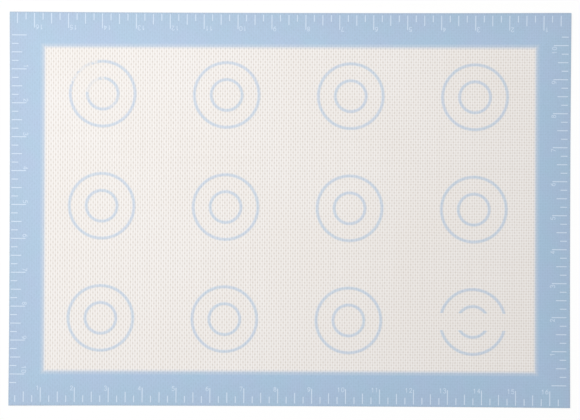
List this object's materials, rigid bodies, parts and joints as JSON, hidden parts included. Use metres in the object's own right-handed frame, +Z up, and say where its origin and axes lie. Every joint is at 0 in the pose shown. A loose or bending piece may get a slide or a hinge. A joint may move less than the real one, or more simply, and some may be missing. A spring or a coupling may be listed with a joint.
{
  "type": "silicone baking mat",
  "caption": "Flat rectangular baking sheet liner of silicone on woven glass cloth, with a sealed blue border, inch scales along its edges and a grid of double portion rings.",
  "frame": {"origin": "centre of the mat's underside, on the surface that it lies on", "axes": "+X along the long side to the right, +Y across to the back edge, +Z up through the thickness"},
  "size_m": [0.42, 0.295, 0.0008],
  "materials": {
    "glass_cloth": "plain weave of glass yarns, wetted through by silicone",
    "clear_white_silicone": "thin cast coat, milky and slightly clear, low satin sheen",
    "blue_silicone": "opaque pale blue, matt to satin",
    "white_silicone_ink": "thin screen-printed lines, matt"
  },
  "bodies": {
    "root": {"glass_cloth": "glass_cloth", "silicone_base_coat": "clear_white_silicone", "silicone_top_coat": "clear_white_silicone", "border_band": "blue_silicone", "outer_ring_r1_c1": "blue_silicone", "inner_ring_r1_c1": "blue_silicone", "outer_ring_r1_c2": "blue_silicone", "inner_ring_r1_c2": "blue_silicone", "outer_ring_r1_c3": "blue_silicone", "inner_ring_r1_c3": "blue_silicone", "outer_ring_r1_c4": "blue_silicone", "inner_ring_r1_c4": "blue_silicone", "outer_ring_r2_c1": "blue_silicone", "inner_ring_r2_c1": "blue_silicone", "outer_ring_r2_c2": "blue_silicone", "inner_ring_r2_c2": "blue_silicone", "outer_ring_r2_c3": "blue_silicone", "inner_ring_r2_c3": "blue_silicone", "outer_ring_r2_c4": "blue_silicone", "inner_ring_r2_c4": "blue_silicone", "outer_ring_r3_c1": "blue_silicone", "inner_ring_r3_c1": "blue_silicone", "outer_ring_r3_c2": "blue_silicone", "inner_ring_r3_c2": "blue_silicone", "outer_ring_r3_c3": "blue_silicone", "inner_ring_r3_c3": "blue_silicone", "outer_ring_r3_c4": "blue_silicone", "inner_ring_r3_c4": "blue_silicone", "front_scale_marks": "white_silicone_ink", "front_scale_numbers": "white_silicone_ink", "back_scale_marks": "white_silicone_ink", "back_scale_numbers": "white_silicone_ink", "left_scale_marks": "white_silicone_ink", "left_scale_numbers": "white_silicone_ink", "right_scale_marks": "white_silicone_ink", "right_scale_numbers": "white_silicone_ink"}
  },
  "joints": []
}
